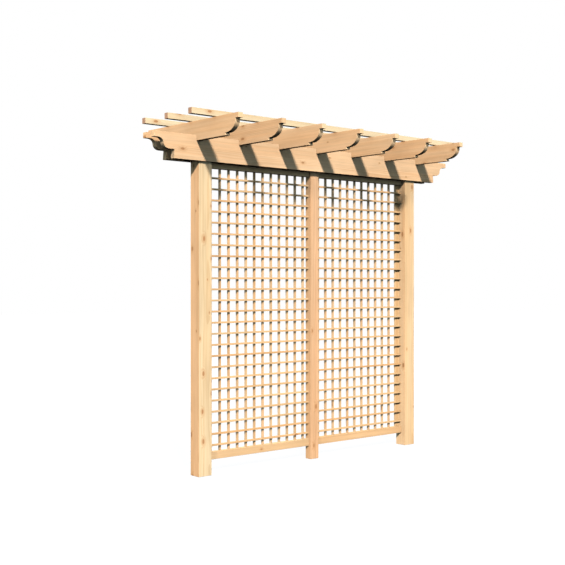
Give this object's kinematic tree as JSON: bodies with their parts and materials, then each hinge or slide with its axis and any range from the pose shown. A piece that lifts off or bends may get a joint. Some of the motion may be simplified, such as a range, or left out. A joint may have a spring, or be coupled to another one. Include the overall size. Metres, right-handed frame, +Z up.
{
  "type": "wooden pergola wall",
  "caption": "Wooden pergola wall: posts carry twin beams with ogee ends, notched ogee-ended rafters and purlins, with square lattice bays between the posts.",
  "frame": {"origin": "centre of the middle post's foot, on the ground", "axes": "+Z up, +X along the wall to the right as seen from the front, -Y to the front"},
  "size_m": [2.856, 1.043, 2.422],
  "materials": {
    "post_wood": "planed softwood, clear oiled, with knots",
    "beam_wood": "planed softwood, clear oiled",
    "rafter_wood": "planed softwood, clear oiled",
    "purlin_wood": "planed softwood, clear oiled",
    "lattice_wood": "planed softwood strips, clear oiled",
    "rail_wood": "planed softwood, clear oiled"
  },
  "bodies": {
    "root": {"left_post": "post_wood", "middle_post": "post_wood", "right_post": "post_wood", "front_beam": "beam_wood", "back_beam": "beam_wood", "rafter_1": "rafter_wood", "rafter_2": "rafter_wood", "rafter_3": "rafter_wood", "rafter_4": "rafter_wood", "rafter_5": "rafter_wood", "rafter_6": "rafter_wood", "rafter_7": "rafter_wood", "front_purlin": "purlin_wood", "middle_purlin": "purlin_wood", "back_purlin": "purlin_wood", "left_lattice": "lattice_wood", "right_lattice": "lattice_wood", "left_stile": "lattice_wood", "right_stile": "lattice_wood", "left_bottom_rail": "rail_wood", "right_bottom_rail": "rail_wood", "left_top_rail": "rail_wood", "right_top_rail": "rail_wood"}
  },
  "joints": []
}
